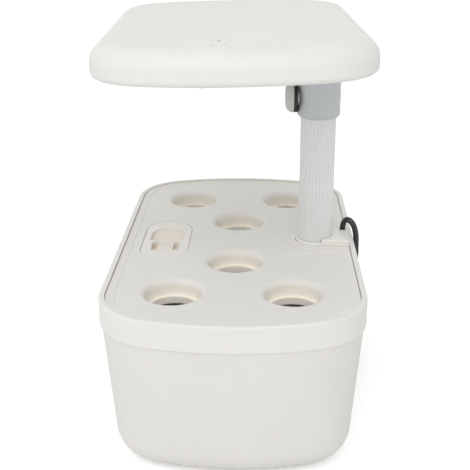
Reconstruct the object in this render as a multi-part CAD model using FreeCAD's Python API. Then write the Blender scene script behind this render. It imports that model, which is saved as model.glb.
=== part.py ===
import FreeCAD, Part
import math
import os

from FreeCAD import Vector

# Countertop hydroponic garden: a tank with six pod holes in a lift-off deck, and a lamp
# on a telescoping mast. Millimetres. +X is to the right, +Y to the rear, +Z up. The
# origin is on the surface that the garden stands on, under the middle of the tank.

# Overall plan: straight sides, round corners and bowed ends
TANK_WIDTH = 200.0
TANK_LENGTH = 344.0
TANK_CORNER_R = 50.0
TANK_BOW_R = 236.0

# Heights above the surface
DECK_Z = 132.6
RIM_RISE = 2.2
SEAM_DROP = 19.0
SEAM_GAP = 0.6
FOOT_PROUD = 1.0

# Tank body
TANK_WALL = 2.6
TANK_FLOOR = 2.8
BODY_STEP = 1.5
BODY_LEAN = 8.8
BODY_FILLET = 25.0
UPSTAND_WALL = 2.4
FOOT_R = 9.0
FOOT_T = 2.2
FOOT_SINK = 1.2
FOOT_IN_X = 40.0
FOOT_IN_Y = 54.0

# Rim frame round the top of the tank
RIM_WIDTH = 4.5
SKIRT_WALL = 3.0
LEDGE_REACH = 13.0
LEDGE_T = 3.0
RIM_ROUND = 1.8

# Clearances
DECK_GAP = 0.4
LID_GAP = 0.35
SHELL_GAP = 0.3
RUNNING = 0.05
SCREW_GAP = 0.2

# Deck
DECK_T = 3.0
BORDER_WIDTH = 6.0
BORDER_RISE = 0.8
LAND_R = 24.0
LAND_Y = 29.0
POD_SIDE_X = 45.3
POD_END_IN = 63.3
POD_MID_Y = 47.4
POD_R = 21.3
POD_ROUND = 5.0
POD_LEDGE = 13.0
POD_THROAT_R = 18.2
POD_DEPTH = 18.5
POD_WALL = 2.2

# Refill lid
LID_WIDTH = 40.0
LID_LENGTH = 88.0
LID_IN = 39.0
LID_Y = -1.0
LID_T = 2.4
LID_SEAT = 2.0
NECK_WALL = 2.0
NECK_DEPTH = 17.0
PLUG_WALL = 1.8
PLUG_DEPTH = 8.0
SCOOP_WIDTH = 29.0
SCOOP_FAR_Y = 26.0
SCOOP_DEPTH = 5.5
SCOOP_SHALLOW = 0.8
GRIP_FAR_Y = -3.0
GRIP_THICK = 3.0
NEAR_WIDTH = 23.0
NEAR_LENGTH = 21.0
RIB_WIDTH = 13.5
RIB_DROP = 1.4

# Mast: fluted outer tube, plain inner tube, clamp collar
MAST_IN = 33.0
TUBE_R = 14.5
TUBE_WALL = 1.9
FLUTES = 30
FLUTE_DEPTH = 0.55
TUBE_FOOT_Z = 64.0
COLLAR_WALL = 3.0
COLLAR_BOTTOM = 109.0
COLLAR_TOP = 150.0
COLLAR_CHAMFER = 3.6
COLLAR_LIP = 2.0
INNER_R = 11.0
INNER_WALL = 1.5
TRAVEL = 110.0
TRAVEL_SPARE = 0.5
BUSH_LENGTH = 38.0
GUIDE_LENGTH = 12.0
LEAD_R = 4.5
TUBE_CAP_T = 4.0
LEAD_HOLE_R = 3.0

# Clamp knob, on the -X side of the collar
KNOB_Z = 125.0
KNOB_STAND = 0.2
KNOB_RING_T = 2.9
KNOB_RING_R = 12.5
KNOB_CAP_R = 12.8
KNOB_CAP_T = 6.9
KNOB_CAP_ROUND = 6.7
KNOB_BOSS_R = 7.5
CLAMP_SCREW_R = 3.0
CLAMP_PAD_T = 1.5
NUT_R = 5.0

# Mast column and its cap
COLUMN_WALL = 2.0
COLUMN_SIDE = 4.5
COLUMN_GAP = 0.5
COLUMN_Z = 30.0
CONTROL_DROP = 21.6
LEG_WIDTH = 14.0
COLUMN_FRONT = -19.5
COLUMN_REAR = 27.0
COLUMN_CORNER = 5.0
FLANGE_T = 2.0
RING_WALL = 1.8
RING_RISE = 3.5
CAP_REAR_Y = 24.0
CAP_RISE = 1.2
BLOCK_OUT = 4.8
BLOCK_FRONT = -16.5
BLOCK_REAR = 10.0
BLOCK_RISE = 6.0
CAP_SCREW_IN = 10.4
CAP_SCREW_YS = (-10.0, 5.0)
CORD_EXIT_Y = 14.2
GROMMET_WALL = 0.9
GLAND_Z = 58.0

# Screws: shank radius, head radius, head height
SCREW_R = 1.5
SCREW_HEAD_R = 2.8
SCREW_HEAD_T = 1.8

# Lamp head, modelled level and square, then shifted, tipped and turned about the mast
MAST_TO_LAMP = 68.7
HEAD_TILT = 0.85
HEAD_TURN = 2.14
LAMP_WIDTH = 201.4
LAMP_LENGTH = 301.7
LAMP_CORNER_R = 50.0
LAMP_BOW_R = 257.0
LAMP_BOTTOM = 163.9
LAMP_TOP = 187.9
LAMP_ROUND = 13.7
LAMP_EDGE_ROUND = 4.5
LAMP_WALL = 2.2
MOUTH_WALL = 5.5
BASE_T = 2.4
SCREW_SINK = 0.6
WINDOW_LEFT = -80.0
WINDOW_RIGHT = 36.0
WINDOW_HALF = 122.0
WINDOW_R = 10.0
WINDOW_LIP = 2.0
DIFFUSER_T = 1.8
BOARD_MARGIN = 6.0
BOARD_LIFT = 10.0
BOARD_T = 1.6
POST_R = 4.0
POST_IN = 8.0
POST_Y = 66.0
POST_END_X = -22.0
LED_SIZE = 3.5
LED_T = 0.8
LED_COLUMNS = 6
LED_ROWS = 12
HUB_FLANGE_R = 26.0
HUB_FLANGE_T = 3.0
HUB_HEIGHT = 11.0
HUB_SCREW_PCD = 44.0
STOP_R = 15.0
STOP_T = 2.4
WASHER_T = 0.8
CONTROL_X = -10.2
BUTTON_Y = -125.5
BUTTON_R = 5.0
BUTTON_TRAVEL = 0.6
BUTTON_GAP = 0.35
LENS_Y = -107.5
LENS_R = 1.2

# Pump
PUMP_X = 17.0
PUMP_Y = -2.0
PUMP_WIDTH = 38.0
PUMP_DEPTH = 30.0
PUMP_HEIGHT = 30.0
PUMP_LIFT = 4.4
ROTOR_R = 8.4
ROTOR_BORE = 9.0
ROTOR_SHAFT_R = 1.5
CHAMBER_DEPTH = 17.0
COVER_T = 4.0
SCREEN_DEPTH = 12.0
NOZZLE_R = 3.4
PUMP_LEAD_R = 1.6
PUMP_LEAD_Y = 4.0

# Power cord
CORD_R = 2.5
CORD_STAND_OFF = 3.4
COIL_R = 36.5
COIL_PITCH = 5.7
COIL_START = 5.0
COIL_END = 12.0
COIL_HALF_TURNS = 6
COIL_BEYOND_Y = 4.0
COIL_IN = 77.4
TIE_T = 1.0
TIE_WIDTH = 8.0
TIE_GAP = 0.25
RELIEF_LENGTH = 24.0
ADAPTER_SIZE = (46.0, 30.0, 27.0)
ADAPTER_SHIFT_Y = 3.5
BLADE_SIZE = (16.0, 1.5, 6.3)
BLADE_SPACING = 12.7

# Worked out from the sizes above
HALF_WIDTH = TANK_WIDTH / 2
HALF_LENGTH = TANK_LENGTH / 2
SEAM_Z = DECK_Z - SEAM_DROP
MAST_X = HALF_WIDTH - MAST_IN
LID_X = LID_IN - HALF_WIDTH
TUBE_BORE_R = TUBE_R - TUBE_WALL
COLLAR_R = TUBE_R + COLLAR_WALL
HUB_R = COLLAR_R
KNOB_RING_X = MAST_X - COLLAR_R - KNOB_STAND
COLUMN_LEFT = MAST_X - TUBE_R - COLUMN_SIDE
COLUMN_RIGHT = HALF_WIDTH - LEDGE_REACH - COLUMN_GAP
BLOCK_LEFT = MAST_X + BLOCK_OUT
CAP_SCREW_X = HALF_WIDTH - CAP_SCREW_IN
HEAD_SHIFT = MAST_X - MAST_TO_LAMP
RIM_Z = DECK_Z + RIM_RISE
LEDGE_Z = DECK_Z - DECK_T
SHOULDER_Z = SEAM_Z - SEAM_GAP
UPSTAND_Z = LEDGE_Z - LEDGE_T
FLOOR_Z = FOOT_PROUD + TANK_FLOOR
DECK_INSET = RIM_WIDTH + DECK_GAP
DECK_RIGHT = HALF_WIDTH - DECK_INSET
TUBE_TOP_Z = DECK_Z + COLLAR_TOP - COLLAR_LIP
BUSH_Z = TUBE_TOP_Z - BUSH_LENGTH
INNER_FOOT_Z = BUSH_Z - TRAVEL - TRAVEL_SPARE - GUIDE_LENGTH
KNOB_HEIGHT = DECK_Z + KNOB_Z
STOP_Z = DECK_Z + COLLAR_TOP + 0.3
HUB_Z = STOP_Z + STOP_T + WASHER_T
HUB_X = MAST_X - HEAD_SHIFT
HUB_TOP_Z = DECK_Z + LAMP_BOTTOM + HUB_HEIGHT
LED_BOARD_Z = DECK_Z + LAMP_BOTTOM + BOARD_LIFT
MAST_SLOT_Y = TUBE_R + 2 * RUNNING + 1.0
GROMMET_R = CORD_R + GROMMET_WALL
NUT_END_X = MAST_X - TUBE_R - DECK_GAP
ROTOR_Z = FLOOR_Z + PUMP_LIFT + PUMP_HEIGHT / 2
CORD_Z = CORD_R + 0.1
COIL_Z = CORD_R + TIE_T + 0.3
POD_SIDE_Y = HALF_LENGTH - POD_END_IN
PODS = (
    (-POD_SIDE_X, -POD_SIDE_Y),
    (POD_SIDE_X, -POD_SIDE_Y),
    (0.0, -POD_MID_Y),
    (0.0, POD_MID_Y),
    (-POD_SIDE_X, POD_SIDE_Y),
    (POD_SIDE_X, POD_SIDE_Y),
)
TANK_PLAN = (TANK_WIDTH, TANK_LENGTH, TANK_CORNER_R, TANK_BOW_R)
LAMP_PLAN = (LAMP_WIDTH, LAMP_LENGTH, LAMP_CORNER_R, LAMP_BOW_R)

# The cord's route: out of its grommet, over the rim, down the right wall, along the
# floor beside the tank and round its rear corner to the coil
CORD_X = HALF_WIDTH + CORD_STAND_OFF
COIL_X = CORD_X - COIL_IN
COIL_NEAR_Y = HALF_LENGTH + COIL_BEYOND_Y
CORD_EXIT_X = DECK_RIGHT - GROMMET_R - DECK_GAP / 2
CORD_ROUTE = (
    (CORD_EXIT_X, CORD_EXIT_Y, DECK_Z + 2.4),
    (CORD_EXIT_X, CORD_EXIT_Y, DECK_Z + 14.2),
    (CORD_X, 8.6, DECK_Z + 13.8),
    (CORD_X, 6.0, DECK_Z - 2.0),
    (CORD_X - 0.2, 5.4, DECK_Z - 22.0),
    (CORD_X - 0.8, 5.2, 78.0),
    (CORD_X - 1.2, 6.2, 48.0),
    (CORD_X - 1.6, 9.5, 24.0),
    (CORD_X - 2.0, 20.0, 7.0),
    (CORD_X - 2.5, 37.0, CORD_Z),
    (CORD_X - 2.8, 66.0, CORD_Z),
    (CORD_X - 1.6, 100.0, CORD_Z),
    (CORD_X - 2.4, HALF_LENGTH - 41.0, CORD_Z),
    (CORD_X - 9.4, HALF_LENGTH - 16.0, CORD_Z),
    (CORD_X - 25.4, HALF_LENGTH - 1.0, CORD_Z + 0.4),
    (CORD_X - 47.4, COIL_NEAR_Y, COIL_Z),
    (COIL_X + COIL_START, COIL_NEAR_Y, COIL_Z),
)


def up(height):
    return Vector(0, 0, height)


def plan_wire(plan, inset, z):
    """Outline with straight sides, round corners and bowed ends, pulled in by inset."""
    width, length, corner_r, bow_r = plan
    bow_y = length / 2 - bow_r
    corner_x = width / 2 - corner_r
    corner_y = bow_y + math.sqrt((bow_r - corner_r) ** 2 - corner_x**2)
    side = width / 2 - inset
    end = length / 2 - inset
    lean = math.atan2(corner_y - bow_y, corner_x)
    join_x = (bow_r - inset) * math.cos(lean)
    join_y = bow_y + (bow_r - inset) * math.sin(lean)
    mid_x = corner_x + (corner_r - inset) * math.cos(lean / 2)
    mid_y = corner_y + (corner_r - inset) * math.sin(lean / 2)
    right_rear = [(side, corner_y), (mid_x, mid_y), (join_x, join_y)]
    left_rear = [(-x, y) for x, y in reversed(right_rear)]
    left_front = [(-x, -y) for x, y in right_rear]
    right_front = [(-x, -y) for x, y in left_rear]
    at = [
        [Vector(x, y, z) for x, y in arc]
        for arc in (right_rear, left_rear, left_front, right_front)
    ]
    edges = []
    for index, arc in enumerate(at):
        following = at[(index + 1) % 4]
        edges.append(Part.Arc(*arc).toShape())
        if index % 2 == 0:
            bow_mid = Vector(0, end if index == 0 else -end, z)
            edges.append(Part.Arc(arc[2], bow_mid, following[0]).toShape())
        else:
            edges.append(Part.LineSegment(arc[2], following[0]).toShape())
    return Part.Wire(edges)


def slab(wire, height):
    return Part.Face(wire).extrude(up(height))


def plan_slab(plan, inset, z, height):
    return slab(plan_wire(plan, inset, z), height)


def stadium(width, length, z, height, x=0.0, y=0.0):
    """Upright prism with straight sides along Y and half-round ends."""
    r = width / 2
    half = length / 2 - r
    points = [Vector(x + r, y - half, z), Vector(x + r, y + half, z)]
    points += [Vector(x - r, y + half, z), Vector(x - r, y - half, z)]
    edges = [
        Part.LineSegment(points[0], points[1]).toShape(),
        Part.Arc(points[1], Vector(x, y + half + r, z), points[2]).toShape(),
        Part.LineSegment(points[2], points[3]).toShape(),
        Part.Arc(points[3], Vector(x, y - half - r, z), points[0]).toShape(),
    ]
    return slab(Part.Wire(edges), height)


def block(x0, x1, y0, y1, z0, z1):
    return Part.makeBox(x1 - x0, y1 - y0, z1 - z0, Vector(x0, y0, z0))


def round_block(x0, x1, y0, y1, z0, z1, r):
    """Block whose upright edges are rounded."""
    solid = block(x0, x1, y0, y1, z0, z1)
    upright = [edge for edge in solid.Edges if abs(edge.tangentAt(edge.FirstParameter).z) > 0.9]
    return solid.makeFillet(r, upright)


def rod(r, z0, z1, x=0.0, y=0.0):
    return Part.makeCylinder(r, z1 - z0, Vector(x, y, z0))


def rod_x(r, x0, x1, y, z):
    return Part.makeCylinder(r, x1 - x0, Vector(x0, y, z), Vector(1, 0, 0))


def rod_y(r, y0, y1, x, z):
    return Part.makeCylinder(r, y1 - y0, Vector(x, y0, z), Vector(0, 1, 0))


def pipe(outer_r, inner_r, z0, z1, x=0.0, y=0.0):
    return rod(outer_r, z0, z1, x, y).cut(rod(inner_r, z0, z1, x, y))


def flat_edges(solid, z, test=None):
    """Edges that lie in the plane at height z."""
    found = []
    for edge in solid.Edges:
        box = edge.BoundBox
        if abs(box.ZMin - z) < 1e-4 and abs(box.ZMax - z) < 1e-4:
            if test is None or test(box):
                found.append(edge)
    return found


def joined(first, *others):
    return first.fuse(list(others)).removeSplitter()


def screw_up(x, y, z, length):
    """Screw driven upwards: head below z, shank above it."""
    head = rod(SCREW_HEAD_R, z - SCREW_HEAD_T, z, x, y)
    socket = rod(SCREW_R * 0.8, z - SCREW_HEAD_T, z - SCREW_HEAD_T / 2, x, y)
    return joined(head, rod(SCREW_R, z, z + length, x, y)).cut(socket)


def body_inset(z):
    """How far the tank's side stands in from the rim's outline at height z."""
    return BODY_STEP + BODY_LEAN * (SHOULDER_Z - z) / (SHOULDER_Z - FOOT_PROUD)


def tub(bottom, top, wall):
    """Leaning tub between two heights, its sides pulled in by wall, rounded underneath."""
    sections = [plan_wire(TANK_PLAN, body_inset(z) + wall, z) for z in (bottom, top)]
    solid = Part.makeLoft(sections, True, True)
    return solid.makeFillet(BODY_FILLET - wall, flat_edges(solid, bottom))


def tank():
    upstand_inset = SKIRT_WALL + DECK_GAP
    top_inset = upstand_inset + UPSTAND_WALL
    shelf_z = SHOULDER_Z - 2 * TANK_WALL
    inner_z = SHOULDER_Z - TANK_WALL
    shell = tub(FOOT_PROUD, SHOULDER_Z, 0)
    shell = shell.fuse(plan_slab(TANK_PLAN, upstand_inset, SHOULDER_Z, UPSTAND_Z - SHOULDER_Z))
    neck_wires = [
        plan_wire(TANK_PLAN, body_inset(shelf_z) + TANK_WALL, shelf_z),
        plan_wire(TANK_PLAN, top_inset, inner_z),
    ]
    shell = shell.cut(tub(FLOOR_Z, shelf_z, TANK_WALL))
    shell = shell.cut(Part.makeLoft(neck_wires, True, True))
    shell = shell.cut(plan_slab(TANK_PLAN, top_inset, inner_z, UPSTAND_Z - inner_z))
    for x, y in foot_places():
        shell = shell.cut(rod(FOOT_R + RUNNING, FOOT_PROUD, FOOT_PROUD + FOOT_SINK, x, y))
    return shell


def foot_places():
    x = HALF_WIDTH - FOOT_IN_X
    y = HALF_LENGTH - FOOT_IN_Y
    return [(-x, -y), (-x, y), (x, -y), (x, y)]


def tank_feet():
    feet = []
    for x, y in foot_places():
        foot = rod(FOOT_R, 0, FOOT_T, x, y)
        feet.append(foot.makeChamfer(0.4, flat_edges(foot, 0)))
    return feet


def rim_frame():
    frame = plan_slab(TANK_PLAN, 0, SEAM_Z, RIM_Z - SEAM_Z)
    frame = frame.makeFillet(RIM_ROUND, flat_edges(frame, RIM_Z))
    frame = frame.makeFillet(RIM_ROUND / 3, flat_edges(frame, SEAM_Z))
    well = plan_slab(TANK_PLAN, RIM_WIDTH, LEDGE_Z, RIM_Z - LEDGE_Z)
    skirt = plan_slab(TANK_PLAN, SKIRT_WALL, SEAM_Z, UPSTAND_Z - SEAM_Z)
    mouth = plan_slab(TANK_PLAN, LEDGE_REACH, UPSTAND_Z, LEDGE_T)
    frame = frame.cut(well).cut(skirt).cut(mouth)
    for y in CAP_SCREW_YS:
        frame = frame.cut(rod(SCREW_R + SCREW_GAP, UPSTAND_Z, LEDGE_Z, CAP_SCREW_X, y))
    return frame


def mast_outline(grow, z, height, left=None):
    """Prism over the round socket and the cable block, grown by grow."""
    start = MAST_X if left is None else left
    ring = rod(TUBE_R + DECK_GAP / 2 + RING_WALL + grow, z, z + height, MAST_X)
    bar = block(start, DECK_RIGHT + grow, BLOCK_FRONT - grow, CAP_REAR_Y + grow, z, z + height)
    return joined(ring, bar)


def pod_cup(x, y):
    throat_r = POD_THROAT_R + POD_WALL
    cup_r = POD_R + POD_WALL
    cup = rod(cup_r, DECK_Z - POD_LEDGE - POD_WALL, LEDGE_Z, x, y)
    throat = rod(throat_r, DECK_Z - POD_DEPTH, DECK_Z - POD_LEDGE, x, y)
    return cup.fuse(throat)


def pod_cutter(x, y):
    """What a pod hole takes away: rounded mouth, straight wall, ledge and throat."""
    mouth_r = POD_R + POD_ROUND
    turn = math.radians(45)
    top = DECK_Z
    low = DECK_Z - POD_ROUND
    start = Vector(x + mouth_r, y, top)
    middle = Vector(x + mouth_r - POD_ROUND * math.sin(turn), y, low + POD_ROUND * math.cos(turn))
    end = Vector(x + POD_R, y, low)
    rest = [
        end,
        Vector(x + POD_R, y, top - POD_LEDGE),
        Vector(x + POD_THROAT_R, y, top - POD_LEDGE),
        Vector(x + POD_THROAT_R, y, top - POD_DEPTH),
        Vector(x, y, top - POD_DEPTH),
        Vector(x, y, top + BORDER_RISE),
        Vector(x + mouth_r, y, top + BORDER_RISE),
        start,
    ]
    edges = [Part.Arc(start, middle, end).toShape()]
    edges += Part.makePolygon(rest).Edges
    face = Part.Face(Part.Wire(edges))
    return face.revolve(Vector(x, y, 0), Vector(0, 0, 1), 360)


def deck():
    plate = plan_slab(TANK_PLAN, DECK_INSET, LEDGE_Z, DECK_T + BORDER_RISE)
    plate = plate.makeFillet(BORDER_RISE / 2, flat_edges(plate, DECK_Z + BORDER_RISE))
    field = Part.makeLoft(
        [
            plan_wire(TANK_PLAN, DECK_INSET + BORDER_WIDTH + BORDER_RISE, DECK_Z),
            plan_wire(TANK_PLAN, DECK_INSET + BORDER_WIDTH, DECK_Z + BORDER_RISE),
        ],
        True,
        True,
    )
    land = joined(
        rod(LAND_R, DECK_Z, DECK_Z + BORDER_RISE, MAST_X),
        round_block(MAST_X, TANK_WIDTH, -LAND_Y, LAND_Y, DECK_Z, DECK_Z + BORDER_RISE, BORDER_RISE),
    )
    plate = plate.cut(field.cut(land))
    neck_top = LEDGE_Z - (NECK_DEPTH - DECK_T)
    neck_width = LID_WIDTH + 2 * LID_GAP
    neck_length = LID_LENGTH + 2 * LID_GAP
    neck = stadium(neck_width, neck_length, neck_top, NECK_DEPTH - DECK_T, LID_X, LID_Y)
    plate = plate.fuse([pod_cup(x, y) for x, y in PODS] + [neck])
    for x, y in PODS:
        plate = plate.cut(pod_cutter(x, y))
    plate = plate.cut(stadium(neck_width, neck_length, DECK_Z - LID_T, LID_T + BORDER_RISE, LID_X, LID_Y))
    mouth_width = LID_WIDTH - 2 * LID_SEAT
    mouth_length = LID_LENGTH - 2 * LID_SEAT
    plate = plate.cut(stadium(mouth_width, mouth_length, neck_top, NECK_DEPTH, LID_X, LID_Y))
    return plate.cut(mast_outline(DECK_GAP, LEDGE_Z, DECK_T + BORDER_RISE, MAST_X))


def scoop(left, right, y_deep, y_shallow, deep, shallow, round_end):
    """Finger scoop under the lid's top: a floor that slopes up from y_deep to y_shallow."""
    middle = (left + right) / 2
    span = right - left
    if round_end:
        length = abs(y_shallow - y_deep) + span
        centre = y_shallow + math.copysign(length / 2, y_deep - y_shallow)
        plan = stadium(span, length, DECK_Z - SCOOP_DEPTH, SCOOP_DEPTH + BORDER_RISE, middle, centre)
    else:
        low_y, high_y = sorted((y_deep, y_shallow))
        plan = round_block(left, right, low_y, high_y, DECK_Z - SCOOP_DEPTH, DECK_Z + BORDER_RISE, 2.0)
    side = [
        Vector(left, y_deep, DECK_Z - deep),
        Vector(left, y_shallow, DECK_Z - shallow),
        Vector(left, y_shallow, DECK_Z + BORDER_RISE),
        Vector(left, y_deep, DECK_Z + BORDER_RISE),
    ]
    wedge = Part.Face(Part.makePolygon(side + side[:1])).extrude(Vector(span, 0, 0))
    return plan.common(wedge)


def refill_lid():
    top = stadium(LID_WIDTH, LID_LENGTH, DECK_Z - LID_T, LID_T, LID_X, LID_Y)
    top = top.makeFillet(0.8, flat_edges(top, DECK_Z))
    plug_width = LID_WIDTH - 2 * LID_SEAT - 2 * LID_GAP
    plug_length = LID_LENGTH - 2 * LID_SEAT - 2 * LID_GAP
    depth = PLUG_DEPTH - LID_T
    plug = stadium(plug_width, plug_length, DECK_Z - PLUG_DEPTH, depth, LID_X, LID_Y)
    hollow = stadium(
        plug_width - 2 * PLUG_WALL,
        plug_length - 2 * PLUG_WALL,
        DECK_Z - PLUG_DEPTH,
        depth,
        LID_X,
        LID_Y,
    )
    scoop_left = LID_X - SCOOP_WIDTH / 2
    scoop_right = LID_X + SCOOP_WIDTH / 2
    near_left = LID_X - NEAR_WIDTH / 2
    near_right = LID_X + NEAR_WIDTH / 2
    near_y = GRIP_FAR_Y - GRIP_THICK
    pocket = block(
        scoop_left - PLUG_WALL,
        scoop_right + PLUG_WALL,
        near_y - NEAR_LENGTH - PLUG_WALL,
        SCOOP_FAR_Y + PLUG_WALL,
        DECK_Z - PLUG_DEPTH,
        DECK_Z - LID_T,
    )
    lid = joined(top, plug.cut(hollow), pocket.common(plug))
    far = scoop(scoop_left, scoop_right, GRIP_FAR_Y, SCOOP_FAR_Y, SCOOP_DEPTH, SCOOP_SHALLOW, True)
    near = scoop(near_left, near_right, near_y, near_y - NEAR_LENGTH, SCOOP_DEPTH, SCOOP_SHALLOW, False)
    rib_left = LID_X - RIB_WIDTH / 2
    rib = block(
        rib_left,
        rib_left + RIB_WIDTH,
        near_y - NEAR_LENGTH,
        near_y,
        DECK_Z - SCOOP_DEPTH,
        DECK_Z - RIB_DROP,
    )
    return lid.cut(far).cut(near.cut(rib))


def mast_column():
    """Dry pocket on a leg in the tank: holds the mast's foot and the control board."""
    low = COLUMN_Z
    top = LEDGE_Z - 0.5
    body = round_block(COLUMN_LEFT, COLUMN_RIGHT, COLUMN_FRONT, COLUMN_REAR, low, top, COLUMN_CORNER)
    leg = round_block(
        COLUMN_LEFT,
        COLUMN_LEFT + LEG_WIDTH,
        COLUMN_FRONT,
        COLUMN_REAR,
        FLOOR_Z,
        low + COLUMN_WALL,
        COLUMN_CORNER,
    )
    seat = mast_outline(-DECK_GAP / 2, LEDGE_Z, FLANGE_T)
    under = mast_outline(-DECK_GAP / 2, UPSTAND_Z, LEDGE_Z - UPSTAND_Z)
    under = under.common(block(0, COLUMN_RIGHT, -LAND_Y, LAND_Y, UPSTAND_Z, LEDGE_Z))
    column = joined(body, leg, under, seat)
    x0 = COLUMN_LEFT + COLUMN_WALL
    x1 = COLUMN_RIGHT - COLUMN_WALL
    y0 = COLUMN_FRONT + COLUMN_WALL
    y1 = COLUMN_REAR - COLUMN_WALL
    bottom = low + COLUMN_WALL
    slot_top = TUBE_FOOT_Z - COLUMN_WALL
    column = column.cut(round_block(x0, x1, y0, MAST_SLOT_Y, bottom, slot_top, COLUMN_WALL))
    column = column.cut(block(x0, x1, MAST_SLOT_Y + COLUMN_WALL, y1, bottom, top - COLUMN_WALL))
    column = column.cut(rod(TUBE_R + 2 * RUNNING, TUBE_FOOT_Z, DECK_Z, MAST_X))
    column = column.cut(rod(LEAD_HOLE_R, bottom, TUBE_FOOT_Z, MAST_X))
    window = block(MAST_X - 6, MAST_X + 6, 0, y1 - COLUMN_WALL, bottom + 8, slot_top - COLUMN_WALL)
    column = column.cut(window)
    column = column.cut(rod_x(PUMP_LEAD_R + RUNNING, COLUMN_LEFT - 1, x0 + 1, PUMP_LEAD_Y, GLAND_Z))
    for y in CAP_SCREW_YS:
        column = column.cut(rod(SCREW_R + SCREW_GAP, LEDGE_Z, LEDGE_Z + FLANGE_T, CAP_SCREW_X, y))
    return column


def mast_cap():
    base_z = LEDGE_Z + FLANGE_T
    base_top = DECK_Z + CAP_RISE
    cap = mast_outline(0, base_z, base_top - base_z)
    ring_r = TUBE_R + DECK_GAP / 2
    ring = rod(ring_r + RING_WALL, base_z, DECK_Z + RING_RISE, MAST_X)
    ring = ring.makeFillet(0.8, flat_edges(ring, DECK_Z + RING_RISE))
    top = DECK_Z + BLOCK_RISE
    raised = block(BLOCK_LEFT, DECK_RIGHT, BLOCK_FRONT, BLOCK_REAR, base_z, top)
    raised = raised.makeFillet(1.0, flat_edges(raised, top))
    cap = joined(cap, ring, raised)
    cap = cap.cut(rod(ring_r, base_z, top, MAST_X))
    for y in CAP_SCREW_YS:
        cap = cap.cut(rod(SCREW_R + RUNNING, base_z, top - 1.6, CAP_SCREW_X, y))
    x, y, z = CORD_ROUTE[0]
    return cap.cut(rod(GROMMET_R + RUNNING, base_z, base_top + 1, x, y))


def cap_screws():
    return [screw_up(CAP_SCREW_X, y, UPSTAND_Z, 9.0) for y in CAP_SCREW_YS]


def cord_grommet():
    x, y, z = CORD_ROUTE[0]
    base_z = LEDGE_Z + FLANGE_T
    body = rod(GROMMET_R, base_z, DECK_Z + CAP_RISE, x, y)
    lip_z = DECK_Z + CAP_RISE
    lip = Part.makeCone(GROMMET_R, GROMMET_R - GROMMET_WALL / 3, z - lip_z, Vector(x, y, lip_z))
    return joined(body, lip)


def fluted_wire(z):
    """Round outline with a ring of small upright ribs."""
    root_r = TUBE_R - FLUTE_DEPTH
    step = 2 * math.pi / FLUTES
    edges = []
    for index in range(FLUTES):
        angles = [(index + part) * step for part in (0.0, 0.5, 1.0)]
        radii = (root_r, TUBE_R, root_r)
        points = [
            Vector(MAST_X + r * math.cos(a), r * math.sin(a), z) for r, a in zip(radii, angles)
        ]
        edges.append(Part.Arc(*points).toShape())
    return Part.Wire(edges)


def outer_tube():
    tube = slab(fluted_wire(TUBE_FOOT_Z), TUBE_TOP_Z - TUBE_FOOT_Z)
    tube = tube.cut(rod(TUBE_BORE_R, TUBE_FOOT_Z, TUBE_TOP_Z, MAST_X))
    return tube.cut(clamp_hole())


def clamp_hole():
    return rod_x(CLAMP_SCREW_R + RUNNING, MAST_X - COLLAR_R - 5, MAST_X - INNER_R + 1, 0, KNOB_HEIGHT)


def inner_tube():
    return pipe(INNER_R, INNER_R - INNER_WALL, INNER_FOOT_Z, HUB_TOP_Z + 4.0, MAST_X)


def guide_plug():
    z = INNER_FOOT_Z
    return pipe(TUBE_BORE_R - 2 * RUNNING, INNER_R, z, z + GUIDE_LENGTH, MAST_X)


def slide_bush():
    bush = pipe(TUBE_BORE_R, INNER_R + RUNNING, BUSH_Z, TUBE_TOP_Z, MAST_X)
    return bush.cut(clamp_hole())


def collar():
    low = DECK_Z + COLLAR_BOTTOM
    high = DECK_Z + COLLAR_TOP
    body = rod(COLLAR_R, low, high, MAST_X)
    body = body.makeFillet(COLLAR_CHAMFER * 0.8, flat_edges(body, low))
    body = body.makeFillet(1.0, flat_edges(body, high))
    boss = rod_x(KNOB_BOSS_R, KNOB_RING_X + 0.3, MAST_X - TUBE_R, 0, KNOB_HEIGHT)
    body = joined(body, boss)
    body = body.cut(rod(TUBE_R + RUNNING, low, TUBE_TOP_Z, MAST_X))
    body = body.cut(rod(INNER_R + 4 * RUNNING, TUBE_TOP_Z, high, MAST_X))
    body = body.cut(rod_x(NUT_R, KNOB_RING_X, NUT_END_X, 0, KNOB_HEIGHT))
    return body.cut(clamp_hole())


def clamp_nut():
    nut = rod_x(NUT_R, KNOB_RING_X + 0.4, NUT_END_X, 0, KNOB_HEIGHT)
    return nut.cut(clamp_hole())


def clamp_pad():
    x = MAST_X - INNER_R - RUNNING
    return rod_x(CLAMP_SCREW_R + RUNNING, x - CLAMP_PAD_T, x, 0, KNOB_HEIGHT)


def clamp_screw():
    tip = MAST_X - INNER_R - 2 * RUNNING - CLAMP_PAD_T
    start = KNOB_RING_X - KNOB_RING_T - KNOB_CAP_T / 2
    return rod_x(CLAMP_SCREW_R, start, tip, 0, KNOB_HEIGHT)


def knob_ring():
    ring = rod_x(KNOB_RING_R, KNOB_RING_X - KNOB_RING_T, KNOB_RING_X, 0, KNOB_HEIGHT)
    return ring.cut(rod_x(CLAMP_SCREW_R, KNOB_RING_X - KNOB_RING_T, KNOB_RING_X, 0, KNOB_HEIGHT))


def knob_cap():
    """Smooth domed thumb grip on the clamp screw."""
    back = KNOB_RING_X - KNOB_RING_T
    front_x = back - KNOB_CAP_T
    cap = rod_x(KNOB_CAP_R, front_x, back, 0, KNOB_HEIGHT)
    front = [edge for edge in cap.Edges if edge.BoundBox.XMax < front_x + 0.01]
    cap = cap.makeFillet(KNOB_CAP_ROUND, front)
    return cap.cut(rod_x(CLAMP_SCREW_R, back - KNOB_CAP_T / 2, back, 0, KNOB_HEIGHT))


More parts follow.
